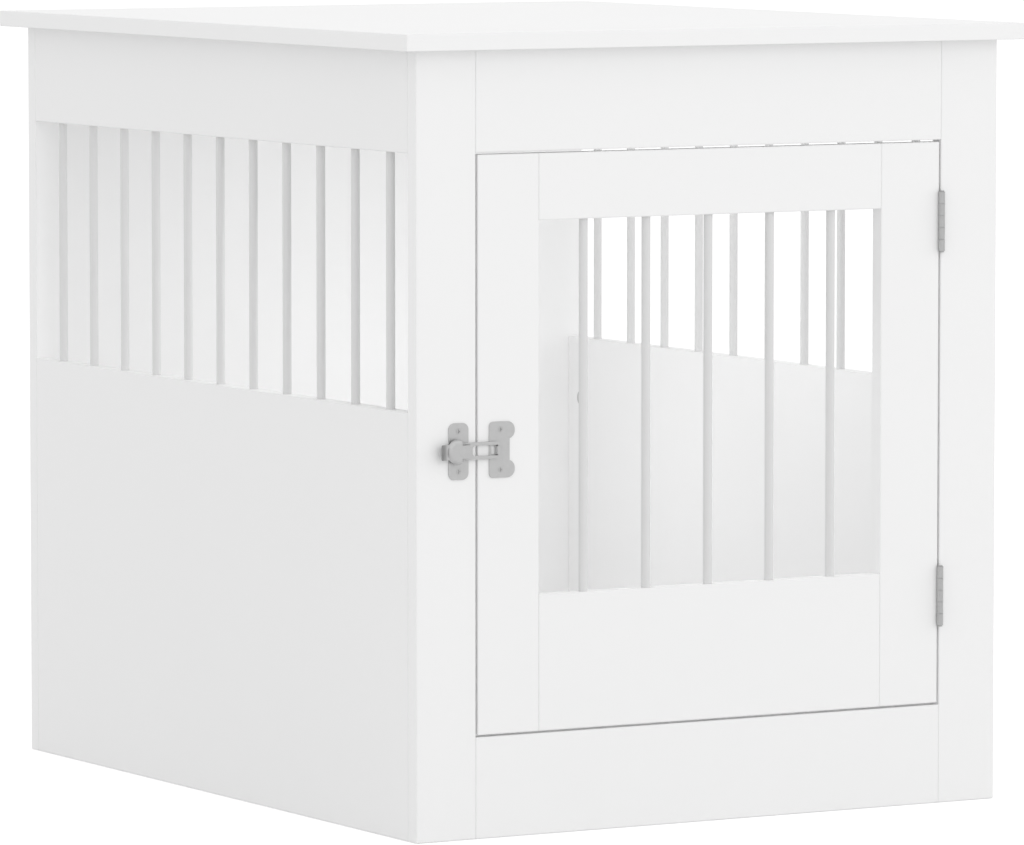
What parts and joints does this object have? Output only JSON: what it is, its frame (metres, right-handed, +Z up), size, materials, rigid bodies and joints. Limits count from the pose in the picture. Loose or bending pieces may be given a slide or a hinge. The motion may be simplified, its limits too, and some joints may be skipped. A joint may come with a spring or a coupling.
{
  "type": "furniture style dog crate",
  "caption": "White board dog crate with a table top, barred side windows and a barred, hinged front door held by a draw latch.",
  "frame": {"origin": "on the ground under the middle of the top board, which is the middle of the body too", "axes": "+Z up, the door and its latch face -Y, +X to the right for someone who looks at the door"},
  "size_m": [0.645, 0.8, 0.71],
  "materials": {
    "white_laminate": "white melamine laminate on particle board, satin with a very fine grain, banded edges",
    "bar_coating": "white powder coating on steel rod, semi-gloss",
    "hinge_steel": "zinc-plated pressed steel, dull",
    "latch_plating": "nickel-plated pressed steel, satin",
    "screw_plating": "zinc-plated steel",
    "cam_zinc": "bare zinc casting",
    "beech": "bare turned beech"
  },
  "bodies": {
    "cabinet": {"top_board": "white_laminate", "floor_board": "white_laminate", "back_board": "white_laminate", "left_panel": "white_laminate", "right_panel": "white_laminate", "left_upper_rail": "white_laminate", "right_upper_rail": "white_laminate", "left_post": "white_laminate", "right_post": "white_laminate", "front_top_rail": "white_laminate", "front_bottom_rail": "white_laminate", "left_bar_1": "bar_coating", "left_bar_2": "bar_coating", "left_bar_3": "bar_coating", "left_bar_4": "bar_coating", "left_bar_5": "bar_coating", "left_bar_6": "bar_coating", "left_bar_7": "bar_coating", "left_bar_8": "bar_coating", "left_bar_9": "bar_coating", "left_bar_10": "bar_coating", "left_bar_11": "bar_coating", "right_bar_1": "bar_coating", "right_bar_2": "bar_coating", "right_bar_3": "bar_coating", "right_bar_4": "bar_coating", "right_bar_5": "bar_coating", "right_bar_6": "bar_coating", "right_bar_7": "bar_coating", "right_bar_8": "bar_coating", "right_bar_9": "bar_coating", "right_bar_10": "bar_coating", "right_bar_11": "bar_coating", "lower_frame_leaf": "hinge_steel", "lower_hinge_pin": "hinge_steel", "upper_frame_leaf": "hinge_steel", "upper_hinge_pin": "hinge_steel", "latch_base": "latch_plating", "lever_pin": "latch_plating", "cabinet_screws": "screw_plating", "cams": "cam_zinc", "cam_bolts": "screw_plating", "dowels": "beech"},
    "door": {"latch_stile": "white_laminate", "hinge_stile": "white_laminate", "door_top_rail": "white_laminate", "door_bottom_rail": "white_laminate", "door_bar_1": "bar_coating", "door_bar_2": "bar_coating", "door_bar_3": "bar_coating", "door_bar_4": "bar_coating", "door_bar_5": "bar_coating", "lower_door_leaf": "hinge_steel", "upper_door_leaf": "hinge_steel", "latch_keeper": "latch_plating", "door_screws": "screw_plating", "door_dowels": "beech"},
    "latch_lever": {"latch_lever": "latch_plating"},
    "loop_swivel": {"loop_pin": "latch_plating"},
    "latch_loop": {"latch_loop": "latch_plating"}
  },
  "joints": [
    {"name": "door_hinge", "type": "hinge", "parent": "cabinet", "child": "door", "pos_m": [0.2415, -0.383, 0.3475], "axis": [0, 0, 1], "range_deg": [0, 170]},
    {"name": "lever_throw", "type": "hinge", "parent": "cabinet", "child": "latch_lever", "pos_m": [-0.253, -0.385, 0.3435], "axis": [0, 0, 1], "range_deg": [0, 75]},
    {"name": "loop_pin_turn", "type": "hinge", "parent": "latch_lever", "child": "loop_swivel", "pos_m": [-0.25795, -0.3843, 0.3435], "axis": [0, 0, 1], "range_deg": [-67, 0]},
    {"name": "loop_swing", "type": "hinge", "parent": "loop_swivel", "child": "latch_loop", "pos_m": [-0.25795, -0.3843, 0.3435], "axis": [0, 0, -1], "range_deg": [0, 50]}
  ],
  "couplings": [
    {"joint": "loop_pin_turn", "follows": "lever_throw", "ratio": -0.89}
  ]
}
